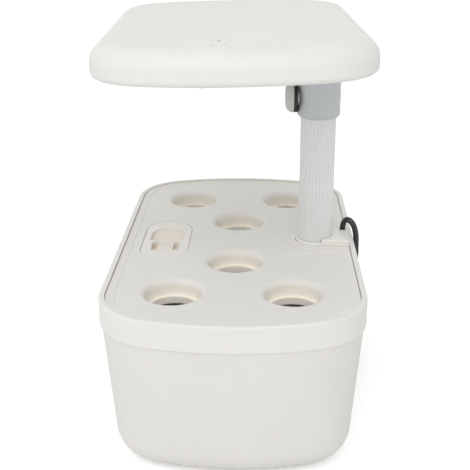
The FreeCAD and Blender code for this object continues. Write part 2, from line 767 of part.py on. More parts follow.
def stop_ring():
    ring = pipe(STOP_R, INNER_R, STOP_Z, STOP_Z + STOP_T, MAST_X)
    return ring.makeFillet(0.5, flat_edges(ring, STOP_Z, lambda box: box.XLength > 2 * INNER_R + 1))


def swivel_washer():
    return pipe(STOP_R, INNER_R + RUNNING, STOP_Z + STOP_T, HUB_Z, MAST_X)


def retaining_ring():
    z = HUB_TOP_Z + 0.3
    return pipe(INNER_R + 2.4, INNER_R, z, z + 1.4, MAST_X)


def tube_cap():
    """Plug in the inner tube's top that holds the lead."""
    return pipe(INNER_R - INNER_WALL, 2.0, HUB_TOP_Z - TUBE_CAP_T, HUB_TOP_Z, MAST_X)


def lamp_lead():
    return rod(LEAD_R, TUBE_FOOT_Z, HUB_TOP_Z - TUBE_CAP_T, MAST_X)


def placed(shape):
    """Head part moved from its level, square place to where the mast holds it."""
    shape.translate(Vector(HEAD_SHIFT, 0, 0))
    shape.rotate(Vector(MAST_X, 0, HUB_Z), Vector(0, 1, 0), -HEAD_TILT)
    shape.rotate(Vector(MAST_X, 0, HUB_Z), Vector(0, 0, 1), HEAD_TURN)
    return shape


def lamp_hub():
    """Flanged barrel that leans with the lamp, with an upright bore and level ends."""
    base_top = DECK_Z + LAMP_BOTTOM + BASE_T
    hub = rod(HUB_R, HUB_Z - 1, HUB_TOP_Z + 1, HUB_X)
    hub = joined(hub, rod(HUB_FLANGE_R, base_top, base_top + HUB_FLANGE_T, HUB_X))
    for x, y in hub_screw_places():
        hub = hub.cut(rod(SCREW_R + RUNNING, base_top, base_top + HUB_FLANGE_T, x, y))
    hub = placed(hub)
    hub = hub.cut(rod(2 * HUB_R, HUB_Z - 3, HUB_Z, MAST_X))
    hub = hub.cut(rod(2 * HUB_R, HUB_TOP_Z, HUB_TOP_Z + 3, MAST_X))
    return hub.cut(rod(INNER_R + RUNNING, HUB_Z, HUB_TOP_Z, MAST_X))


def hub_screw_places():
    r = HUB_SCREW_PCD / 2
    turns = [math.radians(45 + 90 * index) for index in range(4)]
    return [(HUB_X + r * math.cos(t), r * math.sin(t)) for t in turns]


def hub_screws():
    z = DECK_Z + LAMP_BOTTOM + SCREW_SINK
    return [screw_up(x, y, z, BASE_T + HUB_FLANGE_T - 1.0) for x, y in hub_screw_places()]


def shell_screw_places():
    side = LAMP_WIDTH / 2 - LAMP_WALL - POST_IN
    end = LAMP_LENGTH / 2 - LAMP_WALL - POST_IN - 2.0
    sides = [(x, y) for x in (-side, side) for y in (-POST_Y, POST_Y)]
    return sides + [(POST_END_X, -end), (POST_END_X, end)]


def lamp_top_shell():
    low = DECK_Z + LAMP_BOTTOM
    high = DECK_Z + LAMP_TOP
    floor = low + BASE_T
    hollow_top = high - LAMP_WALL
    shell = plan_slab(LAMP_PLAN, 0, low, high - low)
    shell = shell.makeFillet(LAMP_ROUND, flat_edges(shell, high))
    shell = shell.makeFillet(LAMP_EDGE_ROUND, flat_edges(shell, low))
    hollow = plan_slab(LAMP_PLAN, LAMP_WALL, floor, hollow_top - floor)
    hollow = hollow.makeFillet(LAMP_ROUND - LAMP_WALL, flat_edges(hollow, hollow_top))
    for x, y in shell_screw_places():
        hollow = hollow.cut(rod(POST_R, floor, high, x, y))
    shell = shell.cut(hollow).cut(plan_slab(LAMP_PLAN, MOUTH_WALL, low, BASE_T))
    for x, y in shell_screw_places():
        shell = shell.cut(rod(SCREW_R + RUNNING, floor, floor + 10, x, y))
    shell = shell.cut(rod(BUTTON_R + BUTTON_GAP, hollow_top, high, CONTROL_X, BUTTON_Y))
    return shell.cut(rod(LENS_R, hollow_top, high, CONTROL_X, LENS_Y))


def window_block(grow, z0, z1):
    return round_block(
        WINDOW_LEFT - grow,
        WINDOW_RIGHT + grow,
        -WINDOW_HALF - grow,
        WINDOW_HALF + grow,
        z0,
        z1,
        WINDOW_R,
    )


def board_post_places():
    xs = (WINDOW_LEFT - BOARD_MARGIN * 0.35, WINDOW_RIGHT + BOARD_MARGIN * 0.35)
    ys = (-WINDOW_HALF + 8, -40.0, 40.0, WINDOW_HALF - 8)
    return [(x, y) for x in xs for y in ys]


def lamp_base():
    low = DECK_Z + LAMP_BOTTOM
    base = plan_slab(LAMP_PLAN, MOUTH_WALL + SHELL_GAP, low, BASE_T)
    base = base.cut(window_block(0, low, low + BASE_T))
    lip = window_block(WINDOW_LIP, low + BASE_T - DIFFUSER_T, low + BASE_T)
    base = base.cut(lip)
    base = base.cut(rod(HUB_R + SHELL_GAP, low, low + BASE_T, HUB_X))
    for x, y in shell_screw_places() + hub_screw_places():
        base = base.cut(rod(SCREW_R + SCREW_GAP, low, low + BASE_T, x, y))
        base = base.cut(rod(SCREW_HEAD_R + SCREW_GAP, low, low + SCREW_SINK, x, y))
    for x, y in board_post_places():
        post_x = x + math.copysign(BOARD_MARGIN * 0.5, x - (WINDOW_LEFT + WINDOW_RIGHT) / 2)
        base = base.fuse(rod(2.6, low + BASE_T, LED_BOARD_Z, post_x, y))
    return base


def lamp_screws():
    z = DECK_Z + LAMP_BOTTOM + SCREW_SINK
    return [screw_up(x, y, z, 10.0) for x, y in shell_screw_places()]


def diffuser():
    top = DECK_Z + LAMP_BOTTOM + BASE_T
    return window_block(WINDOW_LIP - SHELL_GAP, top - DIFFUSER_T, top)


def led_board():
    return window_block(BOARD_MARGIN, LED_BOARD_Z, LED_BOARD_Z + BOARD_T)


def led_chips():
    top = LED_BOARD_Z
    chips = []
    for column in range(LED_COLUMNS):
        for row in range(LED_ROWS):
            x = WINDOW_LEFT + (WINDOW_RIGHT - WINDOW_LEFT) * (column + 0.5) / LED_COLUMNS
            y = WINDOW_HALF * (2 * (row + 0.5) / LED_ROWS - 1)
            half = LED_SIZE / 2
            chips.append(block(x - half, x + half, y - half, y + half, top - LED_T, top))
    return chips


def driver_board():
    z = LED_BOARD_Z + BOARD_T
    spacers = [(x, y) for x in (-50.0, -10.0) for y in (20.0, 70.0)]
    board = block(-58.0, -2.0, 12.0, 78.0, z + 3.0, z + 3.0 + BOARD_T)
    return joined(board, *[rod(2.2, z, z + 3.0, x, y) for x, y in spacers])


def driver_parts():
    z = LED_BOARD_Z + 2 * BOARD_T + 3.0
    return [
        block(-52.0, -38.0, 20.0, 34.0, z, z + 4.6),
        block(-30.0, -18.0, 24.0, 30.0, z, z + 3.0),
        block(-52.0, -30.0, 56.0, 66.0, z, z + 3.6),
        rod(3.2, z, z + 4.8, -14.0, 46.0),
        rod(3.2, z, z + 4.8, -14.0, 58.0),
    ]


def power_button():
    high = DECK_Z + LAMP_TOP
    under = high - LAMP_WALL
    cap = rod(BUTTON_R, under - 0.4, high, CONTROL_X, BUTTON_Y)
    cap = cap.makeFillet(0.5, flat_edges(cap, high))
    flange = rod(BUTTON_R + 1.4, under - 1.6, under - 0.3, CONTROL_X, BUTTON_Y)
    return joined(cap, flange)


def button_board():
    z = LED_BOARD_Z + BOARD_T
    board = block(CONTROL_X - 9, CONTROL_X + 9, BUTTON_Y - 4, LENS_Y + 5, z + 2.4, z + 2.4 + BOARD_T)
    feet = [rod(1.8, z, z + 2.4, CONTROL_X + x, y) for x in (-6, 6) for y in (BUTTON_Y, LENS_Y)]
    return joined(board, *feet)


def button_switch():
    low = LED_BOARD_Z + 2 * BOARD_T + 2.4
    high = DECK_Z + LAMP_TOP - LAMP_WALL - 1.6 - BUTTON_TRAVEL - 0.1
    case = block(CONTROL_X - 3, CONTROL_X + 3, BUTTON_Y - 3, BUTTON_Y + 3, low, high - 0.8)
    return joined(case, rod(1.7, high - 0.8, high, CONTROL_X, BUTTON_Y))


def indicator_lens():
    low = LED_BOARD_Z + 2 * BOARD_T + 2.4
    return rod(LENS_R, low, DECK_Z + LAMP_TOP + 0.15, CONTROL_X, LENS_Y)


def control_board():
    y = COLUMN_REAR - COLUMN_WALL - 2.0
    low = COLUMN_Z + COLUMN_WALL
    return block(COLUMN_LEFT + 4, COLUMN_RIGHT - 4, y - BOARD_T, y, low, LEDGE_Z - CONTROL_DROP)


def control_parts():
    """Parts on the board: across it, thickness, and bottom and top as shares of its height."""
    y = COLUMN_REAR - COLUMN_WALL - 2.0 - BOARD_T
    x = COLUMN_LEFT + 4
    low = COLUMN_Z + COLUMN_WALL
    height = LEDGE_Z - CONTROL_DROP - low
    parts = (
        (3, 15, 3.0, 0.68, 0.87),
        (17, 27, 3.4, 0.45, 0.55),
        (3, 11, 2.0, 0.27, 0.37),
        (15, 26, 3.4, 0.05, 0.18),
    )
    return [block(x + a, x + b, y - t, y, low + p * height, low + q * height) for a, b, t, p, q in parts]


def pump_body():
    x0 = PUMP_X - PUMP_WIDTH / 2
    x1 = PUMP_X + PUMP_WIDTH / 2
    y0 = PUMP_Y - PUMP_DEPTH / 2
    y1 = PUMP_Y + PUMP_DEPTH / 2
    low = FLOOR_Z + PUMP_LIFT
    body = round_block(x0, x1, y0, y1, low, low + PUMP_HEIGHT, 4.0)
    body = body.makeFillet(1.5, flat_edges(body, low + PUMP_HEIGHT))
    body = body.cut(rod_y(ROTOR_BORE, y0, y0 + CHAMBER_DEPTH, PUMP_X, ROTOR_Z))
    shaft_y = y0 + CHAMBER_DEPTH
    body = body.cut(rod_y(ROTOR_SHAFT_R + RUNNING, shaft_y, shaft_y + 5, PUMP_X, ROTOR_Z))
    return body.cut(rod(NOZZLE_R, ROTOR_Z, low + PUMP_HEIGHT, PUMP_X, y0 + 4.0))


def pump_nozzle():
    y = PUMP_Y - PUMP_DEPTH / 2 + 4.0
    high = FLOOR_Z + PUMP_LIFT + PUMP_HEIGHT
    low = high - 4.0
    nozzle = rod(NOZZLE_R, low, high + 14, PUMP_X, y)
    return nozzle.cut(rod(NOZZLE_R - 1.2, low, high + 14, PUMP_X, y))


def pump_cover():
    x0 = PUMP_X - PUMP_WIDTH / 2
    y1 = PUMP_Y - PUMP_DEPTH / 2
    low = FLOOR_Z + PUMP_LIFT
    cover = block(x0, x0 + PUMP_WIDTH, y1 - COVER_T, y1, low, low + PUMP_HEIGHT)
    inlets = 6
    for index in range(inlets):
        angle = 2 * math.pi * index / inlets
        x = PUMP_X + 5.2 * math.cos(angle)
        z = ROTOR_Z + 5.2 * math.sin(angle)
        cover = cover.cut(rod_y(1.7, y1 - COVER_T, y1, x, z))
    return cover.cut(rod_y(ROTOR_SHAFT_R + RUNNING, y1 - 2.5, y1, PUMP_X, ROTOR_Z))


def pump_screen():
    """Slotted strainer box over the pump's intake."""
    x0 = PUMP_X - PUMP_WIDTH / 2
    x1 = x0 + PUMP_WIDTH
    y1 = PUMP_Y - PUMP_DEPTH / 2 - COVER_T
    y0 = y1 - SCREEN_DEPTH
    low = FLOOR_Z + PUMP_LIFT
    screen = block(x0, x1, y0, y1, low, low + PUMP_HEIGHT)
    screen = screen.cut(block(x0 + 2, x1 - 2, y0 + 2, y1, low + 2, low + PUMP_HEIGHT - 2))
    slots = 7
    pitch = PUMP_WIDTH / (slots + 1)
    for index in range(slots):
        x = x0 + pitch * (index + 1)
        screen = screen.cut(block(x - 1.1, x + 1.1, y0, y0 + 2, low + 5, low + PUMP_HEIGHT - 5))
    return screen


def pump_rotor():
    """Magnet, shaft and six-blade impeller in one turning piece."""
    y0 = PUMP_Y - PUMP_DEPTH / 2
    shaft = rod_y(ROTOR_SHAFT_R, y0 - 2.0, y0 + CHAMBER_DEPTH + 4.5, PUMP_X, ROTOR_Z)
    magnet = rod_y(ROTOR_R - 1.6, y0 + 6.5, y0 + CHAMBER_DEPTH - 0.6, PUMP_X, ROTOR_Z)
    disc = rod_y(ROTOR_R, y0 + 5.0, y0 + 6.5, PUMP_X, ROTOR_Z)
    blades = []
    for index in range(6):
        blade = block(PUMP_X, PUMP_X + ROTOR_R - 0.2, y0 + 0.6, y0 + 5.0, ROTOR_Z - 0.5, ROTOR_Z + 0.5)
        blade.rotate(Vector(PUMP_X, 0, ROTOR_Z), Vector(0, 1, 0), 60 * index)
        blades.append(blade)
    return joined(shaft, magnet, disc, *blades)


def pump_feet():
    feet = []
    for x in (PUMP_X - 13, PUMP_X + 13):
        for y in (PUMP_Y - 10, PUMP_Y + 10):
            feet.append(Part.makeCone(5.0, 3.0, PUMP_LIFT, Vector(x, y, FLOOR_Z)))
    return feet


def tube_path(points):
    """Straight runs joined by tangent arcs; returns the wire and the arcs' radii."""
    corners = [Vector(*point) for point in points]
    edges = []
    radii = []
    start = corners[0]
    for before, corner, after in zip(corners, corners[1:], corners[2:]):
        back = before.sub(corner)
        ahead = after.sub(corner)
        turn = math.pi - back.getAngle(ahead)
        reach = 0.45 * min(back.Length, ahead.Length)
        radii.append(reach / math.tan(turn / 2))
        back.normalize()
        ahead.normalize()
        enter = corner.add(back * reach)
        leave = corner.add(ahead * reach)
        middle = back.add(ahead)
        middle.normalize()
        rise = radii[-1] / math.cos(turn / 2) - radii[-1]
        edges.append(Part.LineSegment(start, enter).toShape())
        edges.append(Part.Arc(enter, corner.add(middle * rise), leave).toShape())
        start = leave
    edges.append(Part.LineSegment(start, corners[-1]).toShape())
    return Part.Wire(edges), radii


def swept(path, r):
    """Round tube along a path, square to it at its start."""
    first = path.Edges[0]
    start = first.valueAt(first.FirstParameter)
    ring = Part.Wire([Part.Circle(start, first.tangentAt(first.FirstParameter), r).toShape()])
    tube = path.makePipeShell([ring], True, False)
    print("tube length", round(path.Length, 1), "from volume", round(tube.Volume / (math.pi * r * r), 1))
    return tube


def power_cord():
    path, radii = tube_path(CORD_ROUTE)
    print("cord radii", [round(r, 1) for r in radii])
    return swept(path, CORD_R)


def pump_lead():
    path, radii = tube_path(
        (
            (PUMP_X + 11.0, PUMP_LEAD_Y, FLOOR_Z + PUMP_LIFT + PUMP_HEIGHT),
            (PUMP_X + 11.0, PUMP_LEAD_Y, GLAND_Z - 10.0),
            (PUMP_X + 15.0, PUMP_LEAD_Y, GLAND_Z - 2.0),
            (PUMP_X + 23.0, PUMP_LEAD_Y, GLAND_Z),
            (COLUMN_LEFT + COLUMN_WALL, PUMP_LEAD_Y, GLAND_Z),
        )
    )
    print("pump lead radii", [round(r, 1) for r in radii])
    return swept(path, PUMP_LEAD_R)


def coil_steps():
    """Half turns of the coil as (start, end, direction of travel) and the turning side."""
    steps = []
    point = Vector(COIL_X, COIL_NEAR_Y, COIL_Z)
    side = 1
    inward = [COIL_R - COIL_PITCH / 2 * k for k in range(COIL_HALF_TURNS)]
    climb = inward[-1] - COIL_PITCH / 2
    outward = list(reversed(inward[1:]))
    for index, r in enumerate(inward + [climb] + outward):
        rise = COIL_PITCH if index == COIL_HALF_TURNS else 0.0
        end = point.add(Vector(0, side * 2 * r, rise))
        steps.append((point, end, Vector(-side, 0, 0)))
        point = end
        side = -side
    return steps


def coil_path():
    """Half circles that spiral in, climb a layer and spiral out again."""
    steps = coil_steps()
    first = steps[0][0]
    edges = [Part.LineSegment(first.add(Vector(COIL_START, 0, 0)), first).toShape()]
    for start, end, heading in steps:
        middle = start.add(end) * 0.5
        reach = start.sub(middle).Length
        edges.append(Part.Arc(start, middle.add(heading * reach), end).toShape())
    last = steps[-1][1]
    edges.append(Part.LineSegment(last, last.sub(Vector(COIL_END, 0, 0))).toShape())
    return Part.Wire(edges)


def coil_gap(path):
    """Least clear distance between turns, from points along the path."""
    points = []
    length = 0.0
    for edge in path.Edges:
        steps = max(2, int(edge.Length / 2.0))
        for index in range(steps):
            along = edge.Length * index / steps
            points.append((length + along, edge.valueAt(edge.getParameterByLength(along))))
        length += edge.Length
    least = 1e9
    for index, (here, point) in enumerate(points):
        for there, other in points[index + 1 :]:
            if there - here > 8 * CORD_R:
                least = min(least, point.sub(other).Length)
    return least - 2 * CORD_R


def cord_coil():
    path = coil_path()
    print("coil length", round(path.Length, 1), "least gap", round(coil_gap(path), 2))
    return swept(path, CORD_R)


def cord_tie():
    """Strap round every turn on the coil's left side."""
    inner = COIL_R - COIL_PITCH / 2 * COIL_HALF_TURNS - CORD_R - TIE_GAP
    outer = COIL_R + CORD_R + TIE_GAP
    low = COIL_Z - CORD_R - TIE_GAP
    high = COIL_Z + COIL_PITCH + CORD_R + TIE_GAP
    y = COIL_NEAR_Y + COIL_R
    y0 = y - TIE_WIDTH / 2
    y1 = y + TIE_WIDTH / 2
    x0 = COIL_X - outer
    x1 = COIL_X - inner
    strap = block(x0 - TIE_T, x1 + TIE_T, y0, y1, low - TIE_T, high + TIE_T)
    return strap.cut(block(x0, x1, y0, y1, low, high))


def adapter_place():
    end = coil_steps()[-1][1]
    return end.sub(Vector(COIL_END, 0, 0))


def adapter_relief():
    tip = adapter_place()
    return Part.makeCone(CORD_R + 0.5, CORD_R + 2.6, RELIEF_LENGTH, tip, Vector(-1, 0, 0))


def power_adapter():
    tip = adapter_place()
    length, width, height = ADAPTER_SIZE
    x1 = tip.x - RELIEF_LENGTH
    y = tip.y + ADAPTER_SHIFT_Y
    case = block(x1 - length, x1, y - width / 2, y + width / 2, 0, height)
    return case.makeFillet(3.0, case.Edges)


def adapter_blades():
    tip = adapter_place()
    length, thick, wide = BLADE_SIZE
    x1 = tip.x - RELIEF_LENGTH - ADAPTER_SIZE[0]
    y = tip.y + ADAPTER_SHIFT_Y
    z = ADAPTER_SIZE[2] / 2
    blades = []
    for side in (-1, 1):
        mid = y + side * BLADE_SPACING / 2
        blade = block(x1 - length, x1, mid - thick / 2, mid + thick / 2, z - wide / 2, z + wide / 2)
        blades.append(blade.cut(rod_y(1.6, mid - thick, mid + thick, x1 - length + 4, z)))
    return blades


FIXED = (
    tank,
    tank_feet,
    rim_frame,
    deck,
    refill_lid,
    mast_column,
    mast_cap,
    cap_screws,
    cord_grommet,
    outer_tube,
    slide_bush,
    collar,
    clamp_nut,
    clamp_pad,
    clamp_screw,
    knob_ring,
    knob_cap,
    inner_tube,
    guide_plug,
    stop_ring,
    swivel_washer,
    retaining_ring,
    tube_cap,
    lamp_lead,
    lamp_hub,
    control_board,
    control_parts,
    pump_body,
    pump_nozzle,
    pump_cover,
    pump_screen,
    pump_rotor,
    pump_feet,
    pump_lead,
    power_cord,
    cord_coil,
    cord_tie,
    adapter_relief,
    power_adapter,
    adapter_blades,
)
HEAD = (
    hub_screws,
    lamp_top_shell,
    lamp_base,
    lamp_screws,
    diffuser,
    led_board,
    led_chips,
    driver_board,
    driver_parts,
    power_button,
    button_board,
    button_switch,
    indicator_lens,
)


def write(maker, on_head):
    made = maker()
    shape = Part.makeCompound(made) if isinstance(made, list) else made
    if on_head:
        shape = placed(shape)
    if not shape.isValid():
        print("not valid:", maker.__name__)
    print(maker.__name__, "solids", len(shape.Solids), "volume", round(shape.Volume / 1000, 2))
    shape.exportStep("parts/" + maker.__name__ + ".step")


os.makedirs("parts", exist_ok=True)
for maker in FIXED:
    write(maker, False)
for maker in HEAD:
    write(maker, True)
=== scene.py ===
import math

import bpy
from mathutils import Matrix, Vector

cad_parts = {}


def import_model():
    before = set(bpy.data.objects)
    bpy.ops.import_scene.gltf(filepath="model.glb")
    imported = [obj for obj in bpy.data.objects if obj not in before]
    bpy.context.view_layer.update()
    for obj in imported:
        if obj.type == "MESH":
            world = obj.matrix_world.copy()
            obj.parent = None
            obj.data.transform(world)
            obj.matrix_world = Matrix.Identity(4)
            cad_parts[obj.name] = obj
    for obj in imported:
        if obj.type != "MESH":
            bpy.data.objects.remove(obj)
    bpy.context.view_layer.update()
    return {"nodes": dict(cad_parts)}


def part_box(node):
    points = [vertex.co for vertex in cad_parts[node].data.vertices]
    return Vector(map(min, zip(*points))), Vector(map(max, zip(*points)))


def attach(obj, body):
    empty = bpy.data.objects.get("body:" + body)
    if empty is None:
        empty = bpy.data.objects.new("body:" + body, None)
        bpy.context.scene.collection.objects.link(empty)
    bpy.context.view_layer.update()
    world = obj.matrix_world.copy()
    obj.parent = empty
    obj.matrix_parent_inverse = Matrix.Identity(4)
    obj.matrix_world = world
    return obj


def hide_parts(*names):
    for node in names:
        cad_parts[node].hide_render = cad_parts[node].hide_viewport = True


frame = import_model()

# Countertop hydroponic garden: the finishes of its pieces, its free mains cord, and the
# photograph's camera and studio. Metres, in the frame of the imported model.

# Camera: its place, its turn in degrees, and its lens and sensor in millimetres
CAMERA_PLACE = (0.02264, -0.71699, 0.41205)
CAMERA_TURN = (68.990, 0.250, 1.869)
CAMERA_LENS = 68.06
CAMERA_SENSOR = 36.0
CAMERA_NEAR = 0.01

# The tank's right and rear sides, and the deck a little below the rim
RIM_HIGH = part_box("rim_frame")[1]
RIM_RISE = 0.0022
DECK_TOP = RIM_HIGH.z - RIM_RISE
RIGHT_SIDE = RIM_HIGH.x
REAR_SIDE = RIM_HIGH.y

# Cord: its radius, its middle on the floor, and where it leaves the cable block
CORD_R = 0.0025
CORD_Z = 0.0026
CORD_STAND_OFF = 0.0034
CORD_X = RIGHT_SIDE + CORD_STAND_OFF
EXIT_IN = 0.0085
EXIT = Vector((RIGHT_SIDE - EXIT_IN, 0.0142, DECK_TOP + 0.0024))

# Coil behind the tank: its outer turn's radius, the step from turn to turn, its half
# turns from the outside to the middle, its control points and its straight ends
COIL_R = 0.0365
COIL_PITCH = 0.0057
COIL_HALF_TURNS = 6
COIL_HALF_POINTS = 8
COIL_START = 0.005
COIL_END = 0.012
COIL_IN = 0.0774
COIL_BEYOND = 0.004
COIL_X = CORD_X - COIL_IN
COIL_Y = REAR_SIDE + COIL_BEYOND
COIL_Z = 0.0038

# Studio light: an even room that is dimmer on the right, where the floor is seen a little
# brighter than it is lit, and three soft boxes, in watts
ROOM_TINT = (1.0, 0.995, 0.98)
ROOM_LIGHT = 0.80
ROOM_RIGHT = 0.66
FLOOR_GLOW = 0.32
FRONT_LIGHT = 14.5
TOP_LIGHT = 1.2
LEFT_LIGHT = 1.8
FLOOR_HALF = 4.0
FLOOR_DROP = 0.0002

# Colours that the photograph shows
IVORY = (0.765, 0.75, 0.72)
RIM_IVORY = (0.80, 0.785, 0.755)
DECK_GREY = (0.80, 0.785, 0.75)
# Painted warm bounce light inside the deck's pod wells
WELL_BOUNCE_PEACH = (0.97, 0.92, 0.84)
# Painted warm shade inside the lid's finger scoop
SCOOP_SHADE_CREAM = (0.82, 0.76, 0.68)
LAMP_WHITE = (0.785, 0.785, 0.76)
SILVER = (0.57, 0.595, 0.615)
TUBE_SILVER = (0.76, 0.775, 0.775)
KNOB_GREY = (0.60, 0.60, 0.58)
BLACK = (0.012, 0.012, 0.013)

# Colours of the pieces that it hides
INNER_WHITE = (0.78, 0.78, 0.76)
BARE_METAL = (0.78, 0.79, 0.80)
STEEL = (0.62, 0.62, 0.61)
BRASS = (0.78, 0.67, 0.40)
DARK = (0.03, 0.03, 0.032)
GREY = (0.16, 0.16, 0.17)
RUBBER = (0.05, 0.05, 0.05)
BOARD_GREEN = (0.03, 0.16, 0.07)
BOARD_WHITE = (0.82, 0.82, 0.80)
CHIP_YELLOW = (0.80, 0.66, 0.22)
ADAPTER_BLACK = (0.022, 0.022, 0.023)
LENS_GREY = (0.10, 0.10, 0.10)
MILK = (0.90, 0.90, 0.88)

# Where the wells and the lid's scoop take over their painted warm bounce light and shade: top and depth
WELL_BOUNCE_BLEND = (DECK_TOP - 0.0020, 0.004)
SCOOP_SHADE_BLEND = (DECK_TOP - 0.0006, 0.0012)

# Surface detail: noise scales per metre, the part of the noise's range that is used, how
# far scuffs change the roughness, and how deep the bump goes
CLOUD_SCALE = 14.0
SCUFF_SCALE = 55.0
MILK_SCALE = 30.0
PEBBLE_SCALE = 650.0
FLOOR_SCALE = 3.0
NOISE_RANGE = (0.3, 0.7)
SCUFF = 0.06
BUMP_DEPTH = 0.0004
STREAK_STRETCH = (260.0, 260.0, 1.5)
STREAK_RANGE = (0.35, 0.65)
STREAK_SHADE = 0.72
# Lighter edges: rubbed wear on black plastic and metal, a painted highlight on white and grey plastic
EDGE_RANGE = (0.52, 0.62)
EDGE_SHADE = 1.12
COAT_ROUGH = 0.12


def new_material(name):
    material = bpy.data.materials.new(name)
    material.use_nodes = True
    nodes = material.node_tree.nodes
    links = material.node_tree.links
    nodes.clear()
    out = nodes.new("ShaderNodeOutputMaterial")
    shader = nodes.new("ShaderNodeBsdfPrincipled")
    links.new(shader.outputs["BSDF"], out.inputs["Surface"])
    place = nodes.new("ShaderNodeTexCoord")
    return material, nodes, links, shader, place.outputs["Object"]


def noise(nodes, links, place, scale, detail=3.0, roughness=0.5):
    node = nodes.new("ShaderNodeTexNoise")
    node.inputs["Scale"].default_value = scale
    node.inputs["Detail"].default_value = detail
    node.inputs["Roughness"].default_value = roughness
    links.new(place, node.inputs["Vector"])
    return node.outputs["Fac"]


def spread(nodes, links, value, span, low, high):
    """Maps the span of a value onto low to high, and holds it there outside."""
    node = nodes.new("ShaderNodeMapRange")
    node.inputs["From Min"].default_value, node.inputs["From Max"].default_value = span
    node.inputs["To Min"].default_value = low
    node.inputs["To Max"].default_value = high
    links.new(value, node.inputs["Value"])
    return node.outputs["Result"]


def blended(nodes, links, share, first, second):
    """Mixes two colours or colour sockets by the share of the second."""
    node = nodes.new("ShaderNodeMix")
    node.data_type = "RGBA"
    links.new(share, node.inputs[0])
    for socket, value in ((node.inputs[6], first), (node.inputs[7], second)):
        if isinstance(value, bpy.types.NodeSocket):
            links.new(value, socket)
        else:
            socket.default_value = (*value, 1.0)
    return node.outputs[2]


def shaded(colour, share):
    return tuple(channel * share for channel in colour)


def bumped(nodes, links, shader, height, strength):
    bump = nodes.new("ShaderNodeBump")
    bump.inputs["Strength"].default_value = strength
    bump.inputs["Distance"].default_value = BUMP_DEPTH
    links.new(height, bump.inputs["Height"])
    links.new(bump.outputs["Normal"], shader.inputs["Normal"])


def finished(name, colour, rough, vary=0.03, grain=0.03, grain_scale=900.0, metal=0.0, coat=0.0,
             edge_wear_and_highlight=0.0, deep=None, deep_from=None, streaks=0.0):
    """Moulded, rubber or metal surface, with uneven colour, fine grain and scuffed roughness.

    The edge setting brightens the edges: rubbed wear on black plastic and metal, a painted
    highlight on white and grey plastic. A second colour takes over below a height, over a
    depth, both in one pair: painted warm bounce light and shade in the wells and the scoop.
    streaks draws lengthwise lines in the colour.
    """
    material, nodes, links, shader, place = new_material(name)
    cloud = noise(nodes, links, place, CLOUD_SCALE, 4.0, 0.55)
    share = spread(nodes, links, cloud, NOISE_RANGE, 0.0, 1.0)
    base = blended(nodes, links, share, shaded(colour, 1.0 - vary), shaded(colour, 1.0 + vary * 0.5))
    # Painted warm bounce light and shade: a second colour that takes over below a height
    if deep is not None:
        parts = nodes.new("ShaderNodeSeparateXYZ")
        links.new(place, parts.inputs["Vector"])
        top, depth = deep_from
        share = spread(nodes, links, parts.outputs["Z"], (top, top - depth), 0.0, 1.0)
        base = blended(nodes, links, share, base, deep)
    if streaks:
        stretch = nodes.new("ShaderNodeMapping")
        stretch.inputs["Scale"].default_value = STREAK_STRETCH
        links.new(place, stretch.inputs["Vector"])
        lines = noise(nodes, links, stretch.outputs["Vector"], 1.0, 3.0, 0.6)
        share = spread(nodes, links, lines, STREAK_RANGE, 0.0, streaks)
        base = blended(nodes, links, share, base, shaded(colour, STREAK_SHADE))
    # Lighter edges: a painted highlight on the pale pieces, rubbed wear on the dark and metal ones
    if edge_wear_and_highlight:
        edge = nodes.new("ShaderNodeNewGeometry")
        share = spread(nodes, links, edge.outputs["Pointiness"], EDGE_RANGE, 0.0, edge_wear_and_highlight)
        base = blended(nodes, links, share, base, shaded(colour, EDGE_SHADE))
    links.new(base, shader.inputs["Base Color"])
    scuffs = noise(nodes, links, place, SCUFF_SCALE, 5.0, 0.65)
    scuffed = spread(nodes, links, scuffs, NOISE_RANGE, rough - SCUFF, rough + SCUFF)
    links.new(scuffed, shader.inputs["Roughness"])
    shader.inputs["Metallic"].default_value = metal
    shader.inputs["Coat Weight"].default_value = coat
    shader.inputs["Coat Roughness"].default_value = COAT_ROUGH
    bumped(nodes, links, shader, noise(nodes, links, place, grain_scale, 2.0, 0.5), grain)
    return material


def frosted(name, colour):
    """Milky sheet with a fine pebbled face that lets some light through."""
    material, nodes, links, shader, place = new_material(name)
    cloud = noise(nodes, links, place, MILK_SCALE)
    share = spread(nodes, links, cloud, NOISE_RANGE, 0.0, 1.0)
    links.new(blended(nodes, links, share, shaded(colour, 0.96), colour), shader.inputs["Base Color"])
    pebbles = nodes.new("ShaderNodeTexVoronoi")
    pebbles.inputs["Scale"].default_value = PEBBLE_SCALE
    links.new(place, pebbles.inputs["Vector"])
    bumped(nodes, links, shader, pebbles.outputs["Distance"], 0.15)
    links.new(spread(nodes, links, cloud, NOISE_RANGE, 0.4, 0.55), shader.inputs["Roughness"])
    shader.inputs["Transmission Weight"].default_value = 0.35
    shader.inputs["IOR"].default_value = 1.49
    return material


def coated(material, *names):
    """Gives CAD nodes their material."""
    for name in names:
        for slot in frame["nodes"][name].material_slots:
            slot.material = material


def camera():
    data = bpy.data.cameras.new("camera")
    data.lens = CAMERA_LENS
    data.sensor_width = CAMERA_SENSOR
    data.clip_start = CAMERA_NEAR
    made = bpy.data.objects.new("camera", data)
    made.location = CAMERA_PLACE
    made.rotation_euler = [math.radians(angle) for angle in CAMERA_TURN]
    bpy.context.collection.objects.link(made)
    bpy.context.scene.camera = made


